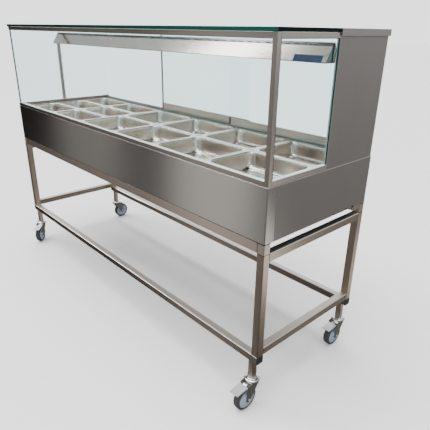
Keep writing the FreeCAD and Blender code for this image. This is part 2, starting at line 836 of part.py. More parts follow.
def build_hood():
    """The heat hood, a folded channel with closed ends, lamp carriers and vent slots, and its lamps.

    A seat plate under its left end stands on the slim post.
    """
    left = s.glass + 0.3 - canopy_x
    right = canopy_x - s.column_hem - 0.5
    span = right - left
    skin = s.sheet_metal
    hood = new_body("heat_hood_form")
    section = new_sketch(hood, "YZ_Plane")
    outline(section, [
        (-s.hood_front, 0),
        (s.hood_back, 0),
        (-s.hood_top_back, s.hood_height),
        (-s.hood_top_front, s.hood_height),
    ])
    pad(hood, section, span)
    hollow = new_sketch(hood, "YZ_Plane")
    outline(hollow, [
        (skin * 1.2 - s.hood_front, -skin),
        (s.hood_back - skin * 1.2, -skin),
        (-s.hood_top_back - skin * 1.3, s.hood_height - skin),
        (skin * 1.3 - s.hood_top_front, s.hood_height - skin),
    ])
    place_plane(hollow, skin)
    pocket(hood, hollow, span - skin * 2, up=True)
    post_seat = new_sketch(hood)
    seat_length = s.post_width + skin * 2
    rectangle(post_seat, 0, skin - s.hood_front, seat_length, s.hood_back - skin)
    pad(hood, post_seat, skin)
    along = (next(f for f in hood.Origin.OriginFeatures if f.Role == "X_Axis"), [""])
    lamp_length = (span - skin * (LAMPS + 1)) / LAMPS
    bay = lamp_length + skin
    carrier = new_sketch(hood, "YZ_Plane")
    outline(carrier, [
        (-s.hood_front * 0.7, s.hood_height * 0.4),
        (s.hood_back * 0.4, s.hood_height * 0.4),
        (-s.hood_top_back, s.hood_height - skin / 2),
        (-s.hood_top_front, s.hood_height - skin / 2),
    ])
    place_plane(carrier, bay)
    carrier_pad = pad(hood, carrier, skin)
    carriers = hood.newObject("PartDesign::LinearPattern", "hood_carriers")
    carriers.Originals = [carrier_pad]
    carriers.Direction = along
    carriers.Occurrences = LAMPS - 1
    bind(carriers, "Length", bay * (LAMPS - 2))
    hood.Tip = carriers
    slots = new_sketch(hood, "XZ_Plane")
    slot_z = s.hood_height - s.slot_width * 2.5
    first_x = (span - s.slot_pitch * (HOOD_SLOTS - 1) - s.slot_length) / 2
    rectangle(slots, first_x, slot_z, first_x + s.slot_length, slot_z + s.slot_width)
    ridge = (s.hood_top_front + s.hood_top_back) / 2
    place_plane(slots, ridge)
    cut = pocket(hood, slots, s.hood_front, up=True)
    row = hood.newObject("PartDesign::LinearPattern", "hood_slot_row")
    row.Originals = [cut]
    row.Direction = along
    row.Occurrences = HOOD_SLOTS
    bind(row, "Length", s.slot_pitch * (HOOD_SLOTS - 1))
    hood.Tip = row
    place(hood, left, 0, body_top + s.hood_bottom)
    bracket_start = s.cover_gap + sheet_fold
    bracket = box(
        "hood_bracket",
        (canopy_x - skin - right, s.hood_back - skin * 2 - bracket_start, s.hood_height / 2),
        (right, bracket_start, body_top + s.hood_bottom + skin),
    )
    node(group("hood_group", [hood, bracket]), "heat_hood")

    lamp = new_body("lamp_form")
    section = polygon(new_sketch(lamp, "YZ_Plane"), (0, 0), s.lamp_radius, SMALL_ROUND_SIDES)
    pad(lamp, section, lamp_length)
    lamp_z = body_top + s.hood_bottom + s.hood_height * 0.55
    lamps = [copy_of(lamp, left + skin + bay * index, -ridge, lamp_z) for index in range(LAMPS)]
    node(group("lamp_group", lamps), "quartz_lamps")


def groove_centre(index):
    """Depth of a door groove, counted from the pans."""
    pitch = s.track_fin + s.track_groove
    return track_start + s.track_fin + s.track_groove / 2 + pitch * index


def track_form(name, span, height):
    """A track with three grooves, open upwards."""
    track = new_body(name)
    section = new_sketch(track, "YZ_Plane")
    rectangle(section, 0, 0, track_width, height)
    pad(track, section, span)
    grooves = new_sketch(track, "YZ_Plane")
    for index in range(3):
        start = s.track_fin + (s.track_fin + s.track_groove) * index
        rectangle(grooves, start, s.track_fin, start + s.track_groove, height * 2)
    pocket(track, grooves, span, up=True)
    return track


def build_doors():
    """Three glass leaves on their bottom rails, each in a groove of its own, and the two tracks."""
    opening_left = s.glass_tube - canopy_x
    opening_right = canopy_x - s.column_jamb - 0.5
    span = canopy_x - sheet_fold - opening_left
    bottom_track = track_form("bottom_track", span, s.track_height)
    place(bottom_track, opening_left, track_start, body_top)
    top_track = track_form("top_track", span, s.cover_fold)
    track_top = canopy_top - s.sheet_metal
    turned_over = Rotation(Vector(1, 0, 0), 180)
    place(top_track, opening_left, track_start + track_width, track_top, turned_over)
    node(group("track_group", [bottom_track, top_track]), "door_tracks")

    rail = new_body("door_rail_form")
    section = new_sketch(rail, "YZ_Plane")
    half = s.door_rail_width / 2
    slot = s.door_glass / 2 + 0.1
    seat = s.door_rail - s.door_seat
    outline(section, [
        (-half, 0),
        (half, 0),
        (half, s.door_rail),
        (slot, s.door_rail),
        (slot, seat),
        (-slot, seat),
        (-slot, s.door_rail),
        (-half, s.door_rail),
    ])
    pad(rail, section, s.door_width)
    rail_z = body_top + s.track_fin + 0.2
    glass_bottom = rail_z + seat
    glass_top = canopy_top - s.sheet_metal - s.track_fin * 3
    leaf = doc.addObject("Part::Box", "door_leaf")
    bind(leaf, "Length", s.door_width)
    bind(leaf, "Width", s.door_glass)
    bind(leaf, "Height", glass_top - glass_bottom)
    closed = opening_right - s.door_width
    middle = closed - s.door_width + s.column_jamb + s.column_hem * 2
    doors = {"right": (closed, 0), "middle": (middle, 1), "left": (middle + 8, 2)}
    for name, (x, groove) in doors.items():
        y = groove_centre(groove)
        node(copy_of(rail, x, y, rail_z), f"door_rail_{name}")
        node(copy_of(leaf, x, y - s.door_glass / 2, glass_bottom), f"door_glass_{name}")


def build_controls():
    """The thermostat knob and the lamps' knob on the server's side, each on a spindle through the panel."""
    knob = new_body("knob_form")
    stand_off = as_size(0.6)
    skirt = polygon(new_sketch(knob, "XZ_Plane"), (0, 0), s.knob_radius, ROUND_SIDES)
    place_plane(skirt, -stand_off)
    pad(knob, skirt, s.knob_height * 0.35, down=True)
    grip = polygon(new_sketch(knob, "XZ_Plane"), (0, 0), s.knob_radius * 0.7, SMALL_ROUND_SIDES)
    place_plane(grip, -stand_off)
    pad(knob, grip, s.knob_height - stand_off, down=True)
    spindle = circle(new_sketch(knob, "XZ_Plane"), 0, 0, s.spindle_radius)
    place_plane(spindle, s.knob_radius / 2)
    pad(knob, spindle, s.knob_radius / 2 + stand_off * 2, down=True)
    pointer = new_sketch(knob, "XZ_Plane")
    rectangle(pointer, -s.spindle_radius / 3, s.knob_radius * 0.2, s.spindle_radius / 3, s.knob_radius)
    place_plane(pointer, -s.knob_height)
    pocket(knob, pointer, 1, up=True)
    for name, share in CONTROLS.items():
        node(copy_of(knob, half_length * share, half_depth, body_bottom + control_height), name)


def check_and_write():
    """Stop on any failed object, then write every sub-part to its own file."""
    doc.recompute()
    for thing in doc.Objects:
        if "Invalid" in thing.State or "Error" in thing.State:
            raise RuntimeError(f"{thing.Label} failed: {thing.State}")
    for thing in nodes:
        if thing.Shape.isNull() or not thing.Shape.isValid():
            raise RuntimeError(f"{thing.Label} has no valid shape")
    os.makedirs("parts", exist_ok=True)
    for thing in nodes:
        thing.Shape.exportStep(f"parts/{thing.Label}.step")


build_stand()
build_casters()
build_panels()
build_well()
build_pans()
build_glass_frame()
build_service_end()
build_hood()
build_doors()
build_controls()
check_and_write()
print(len(nodes), "sub-parts written")
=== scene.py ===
import math

import bmesh
import bpy
from mathutils import Matrix, Vector


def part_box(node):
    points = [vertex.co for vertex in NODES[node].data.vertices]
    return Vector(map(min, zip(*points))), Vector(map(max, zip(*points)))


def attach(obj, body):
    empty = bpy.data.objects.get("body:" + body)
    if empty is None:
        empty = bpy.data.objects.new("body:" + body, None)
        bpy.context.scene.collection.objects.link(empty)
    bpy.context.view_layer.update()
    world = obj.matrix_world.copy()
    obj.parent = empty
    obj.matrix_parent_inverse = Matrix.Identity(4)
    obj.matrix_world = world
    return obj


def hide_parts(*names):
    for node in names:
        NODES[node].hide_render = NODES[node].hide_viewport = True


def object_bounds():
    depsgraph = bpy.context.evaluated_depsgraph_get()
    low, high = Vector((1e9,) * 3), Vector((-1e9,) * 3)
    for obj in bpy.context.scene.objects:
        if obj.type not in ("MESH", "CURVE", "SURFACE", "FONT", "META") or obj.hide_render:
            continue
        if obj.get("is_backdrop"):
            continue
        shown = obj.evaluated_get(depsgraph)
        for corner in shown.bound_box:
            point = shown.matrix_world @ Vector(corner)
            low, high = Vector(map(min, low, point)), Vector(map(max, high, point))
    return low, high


# The look of the heated buffet display cart. Metres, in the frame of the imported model.

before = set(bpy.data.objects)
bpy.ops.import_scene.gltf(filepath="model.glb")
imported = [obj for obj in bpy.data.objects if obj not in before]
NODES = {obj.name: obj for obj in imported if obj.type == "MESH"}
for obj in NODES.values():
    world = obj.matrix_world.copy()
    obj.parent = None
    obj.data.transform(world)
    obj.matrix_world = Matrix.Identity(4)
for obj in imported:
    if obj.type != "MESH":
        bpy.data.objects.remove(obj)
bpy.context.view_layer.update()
MM = 0.001

# Places that several sections share

BODY_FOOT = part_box("front_panel")[0].z
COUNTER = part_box("front_panel")[1].z
BLOCK_FOOT = 657 * MM
FRAME_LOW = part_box("glass_frame")[0]
FRAME_TUBE = 18 * MM
HOOD_LOW, HOOD_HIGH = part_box("heat_hood")
LEAVES = ("left", "middle", "right")
# Side along X, side along Y and rest angle in degrees of each caster.
CORNERS = {"fr": (1, -1, 0), "br": (1, 1, 0), "bl": (-1, 1, 180), "fl": (-1, -1, 45)}


# Nodes: the owner is the material or the world that they belong to

def add_node(owner, kind, **settings):
    """A new node with its settings."""
    node = owner.node_tree.nodes.new(kind)
    for setting, value in settings.items():
        setattr(node, setting, value)
    return node


def link(owner, source, socket):
    """Lead a value to a socket."""
    owner.node_tree.links.new(source, socket)


def calculate(owner, operation, *sources):
    """The result of an operation on one or two values."""
    node = add_node(owner, "ShaderNodeMath", operation=operation)
    for source, socket in zip(sources, node.inputs):
        link(owner, source, socket)
    return node.outputs["Value"]


def stretched(owner, scale):
    """Object coordinates, scaled along each axis."""
    coords = add_node(owner, "ShaderNodeTexCoord")
    mapping = add_node(owner, "ShaderNodeMapping")
    mapping.inputs["Scale"].default_value = scale
    link(owner, coords.outputs["Object"], mapping.inputs["Vector"])
    return mapping.outputs["Vector"]


def along(owner, source, axis):
    """One part of a vector."""
    split = add_node(owner, "ShaderNodeSeparateXYZ")
    link(owner, source, split.inputs["Vector"])
    return split.outputs[axis]


def place_along(owner, axis):
    """How far along an axis a spot lies."""
    return along(owner, stretched(owner, (1, 1, 1)), axis)


def noise(owner, scale, detail, roughness=0.55):
    """Noise over stretched object coordinates."""
    node = add_node(owner, "ShaderNodeTexNoise")
    node.inputs["Scale"].default_value = 1.0
    node.inputs["Detail"].default_value = detail
    node.inputs["Roughness"].default_value = roughness
    link(owner, stretched(owner, scale), node.inputs["Vector"])
    return node.outputs["Fac"]


def spread(owner, source, low, high, start=0.3, end=0.7):
    """Maps values from start to end to a range, and holds them at its limits outside."""
    node = add_node(owner, "ShaderNodeMapRange")
    for name, value in (("From Min", start), ("From Max", end), ("To Min", low), ("To Max", high)):
        node.inputs[name].default_value = value
    link(owner, source, node.inputs["Value"])
    return node.outputs["Result"]


def between(owner, source, start, end, fade):
    """One inside a range of values, and nought outside it."""
    rise = spread(owner, source, 0, 1, start - fade, start)
    fall = spread(owner, source, 1, 0, end, end + fade)
    return calculate(owner, "MULTIPLY", rise, fall)


def mix(owner, share, under, over):
    """A colour between two, by a share. Each is a colour or a socket that gives one."""
    node = add_node(owner, "ShaderNodeMix", data_type="RGBA")
    colour_in = [socket for socket in node.inputs if socket.type == "RGBA"]
    for socket, colour in zip(colour_in, (under, over)):
        if isinstance(colour, tuple):
            socket.default_value = (*colour, 1)
        else:
            link(owner, colour, socket)
    link(owner, share, node.inputs["Factor"])
    return next(socket for socket in node.outputs if socket.type == "RGBA")


# How far a face looks along an axis where it starts to count as turned that way, and where it fully does.
TURN_START = 0.6
TURN_FULL = 0.9


def turned_along(owner, axis):
    """One on faces that look along an axis, and nought on the others."""
    normal = add_node(owner, "ShaderNodeNewGeometry").outputs["Normal"]
    size = calculate(owner, "ABSOLUTE", along(owner, normal, axis))
    return spread(owner, size, 0, 1, TURN_START, TURN_FULL)


# Kinds of material

def new_material(name):
    """A node material and its main shader."""
    material = bpy.data.materials.new(name)
    material.use_nodes = True
    return material, material.node_tree.nodes["Principled BSDF"]


def shade(colour, factor):
    """A darker or lighter colour."""
    return tuple(min(1.0, part * factor) for part in colour)


def raise_surface(material, shader, height, strength, distance):
    """Bump from a texture value."""
    node = add_node(material, "ShaderNodeBump")
    node.inputs["Strength"].default_value = strength
    node.inputs["Distance"].default_value = distance
    link(material, height, node.inputs["Height"])
    link(material, node.outputs["Normal"], shader.inputs["Normal"])


# How close the brush lines lie along each axis.
GRAIN = {
    "x": (3, 900, 900), "y": (900, 3, 900), "z": (900, 900, 3), "level": (9, 9, 900), "even": (260, 260, 260),
}
# Highlights stretch across the grain, and up and down on sheets.
ACROSS_GRAIN = {"x": (0, 1, 1), "y": (1, 0, 1), "z": (1, 1, 0), "level": (0.3, 0.3, 1)}
ACROSS_SHEET = (0, 0, 1)
HANDLING_MARKS = (5, 5, 5)
BRUSH_DEPTH = 0.4 * MM
BAND_FADE = 0.3 * MM


def stretch_highlights(material, shader, across, stretch):
    """Pull the highlights of a shader out along a direction."""
    tangent = add_node(material, "ShaderNodeCombineXYZ")
    for socket, value in zip(tangent.inputs, across):
        socket.default_value = value
    link(material, tangent.outputs["Vector"], shader.inputs["Tangent"])
    shader.inputs["Anisotropic"].default_value = stretch


def brushed(name, colour, grain, rough=(0.24, 0.38), bump=0.12, contrast=0.1, stretch=0.8, across=None,
            bands=(), faces=(), top_rough=None):
    """Brushed stainless steel: fine lines along one axis, faint handling marks over them.

    Bands are stretches of an axis with a colour of their own, such as painted shade in a joint or a painted
    highlight along an edge. Faces turned along an axis can have a colour of their own too, painted lighter or
    darker as light falls on that side, and level faces a roughness.
    """
    material, shader = new_material(name)
    if grain in ACROSS_GRAIN:
        stretch_highlights(material, shader, across or ACROSS_GRAIN[grain], stretch)
    lines = noise(material, GRAIN[grain], detail=4)
    marks = noise(material, HANDLING_MARKS, detail=5, roughness=0.6)
    tone = mix(material, marks, shade(colour, 1 - contrast), shade(colour, 1 + contrast))
    # Painted light and shade: a side turned along an axis takes a lighter or darker colour, as light falls on
    # it.
    for axis, side_shading_colour in faces:
        tone = mix(material, turned_along(material, axis), tone, side_shading_colour)
    # Bands also carry painted shade and painted highlights.
    for axis, start, end, band_colour in bands:
        share = between(material, place_along(material, axis), start, end, BAND_FADE)
        tone = mix(material, share, tone, band_colour)
    link(material, tone, shader.inputs["Base Color"])
    roughness = spread(material, lines, *rough)
    if top_rough:
        roughness = mix(material, turned_along(material, "Z"), roughness, (top_rough,) * 3)
    link(material, roughness, shader.inputs["Roughness"])
    shader.inputs["Metallic"].default_value = 1.0
    raise_surface(material, shader, lines, bump, BRUSH_DEPTH)
    return material


MOULD_GRAIN = (900, 900, 900)
MOULD_DEPTH = 0.3 * MM
WEAR_MARKS = (22, 22, 22)
WEAR_DARK = 0.82
WEAR_LIGHT = 1.2
WEAR_ROUGH = 0.08


def moulded(name, colour, rough, bump=0.08, shine=0.5):
    """Moulded plastic or rubber with a fine even texture."""
    material, shader = new_material(name)
    grain = noise(material, MOULD_GRAIN, detail=2)
    wear = noise(material, WEAR_MARKS, detail=4)
    tone = mix(material, wear, shade(colour, WEAR_DARK), shade(colour, WEAR_LIGHT))
    link(material, tone, shader.inputs["Base Color"])
    roughness = spread(material, wear, rough - WEAR_ROUGH, rough + WEAR_ROUGH)
    link(material, roughness, shader.inputs["Roughness"])
    shader.inputs["Specular IOR Level"].default_value = shine
    raise_surface(material, shader, grain, bump, MOULD_DEPTH)
    return material


# Thin panes hardly shift what is behind them, so only their coat mirrors.
PANE_BENDING = 1.002
GLASS_BENDING = 1.5
SMEARS = (6, 6, 2)
SMEAR_ROUGH = 0.03


def clear_glass(name, colour, alpha):
    """Float glass with faint smears."""
    material, shader = new_material(name)
    smears = noise(material, SMEARS, detail=4)
    link(material, spread(material, smears, 0.0, SMEAR_ROUGH), shader.inputs["Coat Roughness"])
    for socket, value in (
        ("Base Color", (*colour, 1)), ("Roughness", 0.0), ("Transmission Weight", 1.0), ("IOR", PANE_BENDING),
        ("Coat Weight", 1.0), ("Coat IOR", GLASS_BENDING), ("Alpha", alpha),
    ):
        shader.inputs[socket].default_value = value
    return material


EDGE_STREAKS = (40, 40, 400)
EDGE_ROUGH = (0.3, 0.5)


def grind(material, shader, shine):
    """Streaks of a ground edge, which is rougher along them."""
    streaks = noise(material, EDGE_STREAKS, detail=3)
    link(material, spread(material, streaks, *EDGE_ROUGH), shader.inputs["Roughness"])
    shader.inputs["Specular IOR Level"].default_value = shine
    return streaks


def glass_edge(name, dark, light):
    """The ground edge of a pane, which shows the glass's own green."""
    material, shader = new_material(name)
    streaks = grind(material, shader, shine=0.12)
    link(material, mix(material, streaks, dark, light), shader.inputs["Base Color"])
    return material


# Where along the glass top its edge starts to turn green, and where it is greenest.
GREEN_START = -0.4
GREEN_FULL = 0.9


def top_edge(name, dark, green, end_colour):
    """The thick edge of the glass top: greener to the right along the front, with a colour at the ends."""
    material, shader = new_material(name)
    share = spread(material, place_along(material, "X"), 0, 1, GREEN_START, GREEN_FULL)
    tone = mix(material, share, dark, green)
    tone = mix(material, turned_along(material, "X"), tone, end_colour)
    link(material, tone, shader.inputs["Base Color"])
    grind(material, shader, shine=0.08)
    return material


# Bands of colour on the steel: axis, start, end and colour

BLACK = (0.012, 0.012, 0.013)
# Painted shade in the gaps where parts meet: under the body's panels and at the foot of the corner blocks.
JOINT_SHADE = (0.03, 0.028, 0.026)
# Painted highlight for edges that would catch the light.
EDGE_HIGHLIGHT = (1.0, 0.97, 0.94)
BODY_JOINT_SHADE = ("Z", BODY_FOOT - 2.2 * MM, BODY_FOOT + 0.8 * MM, JOINT_SHADE)
LEG_JOINT_SHADE = ("Z", BLOCK_FOOT - 1 * MM, BLOCK_FOOT + 1 * MM, JOINT_SHADE)
CORNER_BLOCK = ("Z", BLOCK_FOOT, BODY_FOOT, (0.70, 0.62, 0.55))
# Painted highlight along the folded top edges of the body's sheets.
TOP_FOLD_HIGHLIGHT = ("Z", COUNTER - 2.4 * MM, COUNTER - 0.2 * MM, (1.0, 0.98, 0.96))
# Painted shade on the hood's top strip, over its row of vents.
HOOD_TOP_SHADE = ("Z", HOOD_HIGH.z - 12 * MM, HOOD_HIGH.z + 1 * MM, (0.11, 0.105, 0.10))
# Painted shade along the hood's lower rim.
HOOD_RIM_SHADE = ("Z", HOOD_LOW.z - 1 * MM, HOOD_LOW.z + 2.5 * MM, (0.10, 0.095, 0.09))
# The slim post at the left end is darker than the rest of the glass frame.
POST_START = FRAME_LOW.x + FRAME_TUBE
LEFT_POST = ("X", POST_START, POST_START + 50 * MM, (0.36, 0.31, 0.28))
# Painted highlights along the top edges of the rails, where the rounded edges would catch the light:
# long lower, end lower and end upper rails.
RAIL_HEADS = (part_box("legs")[0].z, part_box("lower_rails")[1].z, BLOCK_FOOT)
RAIL_EDGE_HIGHLIGHTS = tuple(("Z", head - 2.0 * MM, head - 0.45 * MM, EDGE_HIGHLIGHT) for head in RAIL_HEADS)

LOOKS = {}

# Looks of the body's sheets

PANEL_STEEL = (0.47, 0.45, 0.43)
# The front sheet's end returns, turned along X, are painted lighter: a painted highlight on the corner bend.
LOOKS["front"] = brushed(
    "front_sheet", PANEL_STEEL, "x", rough=(0.155, 0.175), bump=0.01, contrast=0.06, stretch=1.0,
    across=ACROSS_SHEET, bands=(BODY_JOINT_SHADE, TOP_FOLD_HIGHLIGHT), faces=(("X", (0.62, 0.60, 0.57)),),
)
LOOKS["ends"] = brushed(
    "end_sheet", PANEL_STEEL, "y", rough=(0.28, 0.34), bump=0.02, contrast=0.06, stretch=1.0,
    across=ACROSS_SHEET, bands=(TOP_FOLD_HIGHLIGHT,),
)
LOOKS["cover"] = brushed(
    "cover_sheet", (0.50, 0.485, 0.47), "x", rough=(0.2, 0.26), bump=0.02, contrast=0.06,
)
# The hood's end faces are painted darker, as painted shade.
LOOKS["hood"] = brushed(
    "hood_sheet", (0.49, 0.40, 0.365), "x", rough=(0.085, 0.105), bump=0.008, stretch=0.95,
    bands=(HOOD_TOP_SHADE, HOOD_RIM_SHADE), faces=(("X", (0.2, 0.19, 0.18)),),
)
LOOKS["deck"] = brushed("deck_sheet", (0.38, 0.355, 0.33), "x", rough=(0.24, 0.34), bump=0.04)

# Looks of the tubes

# Painted light and shade on the rails: their tops and their faces turned along X get colours of their own,
# and the lower rails are a darker copy of the same steel, as painted shade.
RAIL_TOP_SHADING = (0.52, 0.475, 0.435)
# The legs' faces turned along X are painted lighter, as the side that the light falls on.
LOOKS["legs"] = brushed(
    "leg_tube", (0.40, 0.335, 0.28), "z", bump=0.05, bands=(CORNER_BLOCK, LEG_JOINT_SHADE, BODY_JOINT_SHADE),
    faces=(("X", (0.70, 0.58, 0.475)),),
)
LOOKS["rails"] = brushed(
    "rail_tube", (0.56, 0.485, 0.425), "level", rough=(0.225, 0.255), bump=0.004, stretch=0.4,
    bands=(BODY_JOINT_SHADE, *RAIL_EDGE_HIGHLIGHTS), faces=(("X", (0.58, 0.495, 0.42)), ("Z", RAIL_TOP_SHADING)), top_rough=0.5,
)
LOOKS["low_rails"] = brushed(
    "low_rail_tube_shaded", (0.25, 0.215, 0.185), "level", rough=(0.225, 0.255), bump=0.004, stretch=0.4,
    bands=RAIL_EDGE_HIGHLIGHTS, faces=(("X", (0.50, 0.42, 0.35)), ("Z", RAIL_TOP_SHADING)), top_rough=0.5,
)
# The canopy tubes' tops are painted near white and their faces turned along X lighter, as painted highlights.
LOOKS["frame"] = brushed(
    "canopy_tube", (0.32, 0.287, 0.262), "x", rough=(0.24, 0.27), bump=0.005, stretch=0.6, bands=(LEFT_POST,),
    faces=(("X", (0.72, 0.665, 0.62)), ("Z", (0.98, 0.96, 0.94))), top_rough=0.4,
)

# Looks of the pans

LOOKS["pans"] = brushed(
    "pan_sheet", (0.675, 0.565, 0.51), "even", rough=(0.15, 0.18), bump=0.0, contrast=0.02,
)
# Painted light: pan floors and lips are lighter copies of the pan steel, as they catch the light.
LOOKS["pan_floor"] = brushed(
    "pan_floor_painted_light", (0.90, 0.86, 0.82), "even", rough=(0.215, 0.235), bump=0.0, contrast=0.01,
)
LOOKS["lip"] = brushed(
    "pan_lip_painted_highlight", (0.81, 0.705, 0.665), "even", rough=(0.32, 0.38), bump=0.0, contrast=0.02,
)

# Looks of the casters

LOOKS["zinc"] = brushed("zinc_plate", (0.84, 0.85, 0.87), "even", rough=(0.18, 0.28), bump=0.02)
# The fork is painted darker than the zinc head, as painted shade on its sides.
LOOKS["fork"] = brushed("fork_plate_shaded", (0.27, 0.25, 0.23), "even", rough=(0.5, 0.56), bump=0.0, contrast=0.03)
LOOKS["bolt"] = brushed("bolt_head", (1.0, 1.0, 1.0), "even", rough=(0.3, 0.36), bump=0.0, contrast=0.0)
LOOKS["pedal"] = brushed("pedal_plate", (0.88, 0.90, 0.94), "even", rough=(0.3, 0.42), bump=0.05)
LOOKS["wheel"] = moulded("wheel_nylon", (0.27, 0.33, 0.41), 0.42)
LOOKS["tyre"] = moulded("tyre_rubber", (0.035, 0.036, 0.04), 0.6, bump=0.15)

# Looks of the small parts

LOOKS["element"] = brushed("element_sheath", (0.20, 0.19, 0.18), "even", rough=(0.4, 0.55))
LOOKS["plug"] = moulded("black_plastic", BLACK, 0.5)
LOOKS["badge"] = moulded("badge_enamel", (0.008, 0.016, 0.042), 0.55, bump=0.02, shine=0.15)

# Looks of the doors: the ends of each leaf's bottom rail are painted black, as painted shade

LEAF_STEEL = (0.60, 0.51, 0.46)
LEAF_END_SHADE = 12 * MM
LOOKS["track"] = brushed("track_extrusion", (0.26, 0.25, 0.24), "x", rough=(0.28, 0.4), bump=0.06)
for leaf in LEAVES:
    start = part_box(f"door_rail_{leaf}")[0].x
    LOOKS[f"leaf_rail_{leaf}"] = brushed(
        f"leaf_rail_{leaf}", LEAF_STEEL, "x", rough=(0.24, 0.34), bump=0.04, faces=(("X", BLACK),),
        bands=(("X", start - 1 * MM, start + LEAF_END_SHADE, BLACK),),
    )

# Looks of the glass

LOOKS["glass"] = clear_glass("clear_glass", (0.34, 0.90, 0.90), 0.2)
LOOKS["rear_glass"] = clear_glass("rear_glass", (0.80, 0.97, 0.97), 0.2)
LOOKS["quartz"] = clear_glass("quartz_tube", (0.96, 0.93, 0.90), 0.75)
LOOKS["faint_edge"] = clear_glass("inner_glass_edge", (0.80, 0.93, 0.90), 0.35)
LOOKS["edge"] = glass_edge("glass_edge", (0.002, 0.035, 0.032), (0.008, 0.085, 0.078))
# The end pane's edge is a darker copy of the glass edge, painted shade.
LOOKS["dark_edge"] = glass_edge("end_glass_edge_shaded", (0.003, 0.016, 0.018), (0.006, 0.04, 0.045))
LOOKS["top_edge"] = top_edge(
    "top_glass_edge", (0.0008, 0.012, 0.010), (0.001, 0.05, 0.033), end_colour=(0.001, 0.005, 0.005),
)


# Mesh helpers

def into_scene(name, data):
    """A new object of the scene."""
    thing = bpy.data.objects.new(name, data)
    bpy.context.scene.collection.objects.link(thing)
    return thing


def finish_piece(name, mesh, body, looks, place=None, smooth=False):
    """Link a mesh as a piece that rides on a body."""
    piece = into_scene(name, mesh)
    for look in looks:
        if LOOKS[look].name not in [material.name for material in mesh.materials if material]:
            mesh.materials.append(LOOKS[look])
    if smooth:
        mesh.shade_smooth()
    if place is not None:
        piece.matrix_world = place
    bpy.context.view_layer.update()
    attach(piece, body)
    return piece


def mesh_from(bm, name):
    """A mesh whose faces all look outwards."""
    bmesh.ops.recalc_face_normals(bm, faces=bm.faces)
    mesh = bpy.data.meshes.new(name)
    bm.to_mesh(mesh)
    bm.free()
    return mesh


def ring(bm, width, depth, radius, z, steps=8):
    """The corners of a rounded rectangle at one height."""
    verts = []
    for corner, (sx, sy) in enumerate(((1, 1), (-1, 1), (-1, -1), (1, -1))):
        cx = sx * (width / 2 - radius)
        cy = sy * (depth / 2 - radius)
        for step in range(steps + 1):
            angle = (corner + step / steps) * math.pi / 2
            spot = Vector((cx + radius * math.cos(angle), cy + radius * math.sin(angle), z))
            verts.append(bm.verts.new(spot))
    return verts


def bridge(bm, low, high):
    """The faces between two rings of corners."""
    faces = []
    for index in range(len(low)):
        after = (index + 1) % len(low)
        faces.append(bm.faces.new((low[index], low[after], high[after], high[index])))
    return faces


def lathe(name, profile, steps):
    """Turn a closed profile of (along X, radius) points about X."""
    bm = bmesh.new()
    rows = []
    for step in range(steps):
        angle = 2 * math.pi * step / steps
        rows.append([bm.verts.new((x, r * math.cos(angle), r * math.sin(angle))) for x, r in profile])
    for one, two in zip(rows, rows[1:] + rows[:1]):
        bridge(bm, one, two)
    return mesh_from(bm, name)


# Stand, body and canopy: the CAD solids with their looks and small rounds

SHEET_ROUND = 0.5 * MM
TUBE_ROUND = 0.6 * MM
RAIL_ROUND = 1.5 * MM
FORK_ROUND = 0.7 * MM
PEDAL_ROUND = 0.6 * MM
NO_ROUND = 0
# Edges that turn by more degrees than this are rounded.
SHEET_TURN = 50
TUBE_TURN = 30
WELD_GAP = 0.01 * MM


def soften(node, look, width=SHEET_ROUND, segments=2, angle=SHEET_TURN):
    """Give a CAD node its look and a small round on its edges."""
    thing = NODES[node]
    thing.data.materials.clear()
    thing.data.materials.append(LOOKS[look])
    if width:
        weld = thing.modifiers.new("weld", "WELD")
        weld.merge_threshold = WELD_GAP
        bevel = thing.modifiers.new("round", "BEVEL")
        bevel.width = width
        bevel.segments = segments
        bevel.limit_method = "ANGLE"
        bevel.angle_limit = math.radians(angle)


for node, look in {
    "legs": "legs", "caster_stubs": "legs", "glass_frame": "frame", "rail_end_plugs": "plug",
}.items():
    soften(node, look, TUBE_ROUND, angle=TUBE_TURN)
for node, look in {"upper_rails": "rails", "lower_rails": "low_rails"}.items():
    soften(node, look, RAIL_ROUND, segments=3, angle=TUBE_TURN)
for node, look in {"heating_elements": "element", "quartz_lamps": "quartz"}.items():
    soften(node, look, NO_ROUND)
for node, look in {
    "front_panel": "front", "end_panels": "ends", "rear_panel": "front", "base_pan": "front",
    "well_deck": "deck", "pan_bars": "pans", "service_column": "ends", "top_cover": "cover",
    "heat_hood": "hood", "door_tracks": "track", "thermostat_knob": "plug", "lamp_knob": "plug",
}.items():
    soften(node, look)
for leaf in LEAVES:
    soften(f"door_rail_{leaf}", f"leaf_rail_{leaf}")
for corner in CORNERS:
    soften(f"caster_fork_{corner}", "fork", FORK_ROUND)
    soften(f"brake_pedal_{corner}", "pedal", PEDAL_ROUND)


# Glass

PANE_CHAMFER = 0.8 * MM
PANE = 6 * MM
EDGE_STRIP = 9 * MM
DOWNWARDS = (0, 0, -1)
RIGHTWARDS = (1, 0, 0)
# How far a face has to look across the pane to be one of its sheets, or to a side to be on that side.
SHEET_FACE = 0.99
SIDE_FACE = 0.5


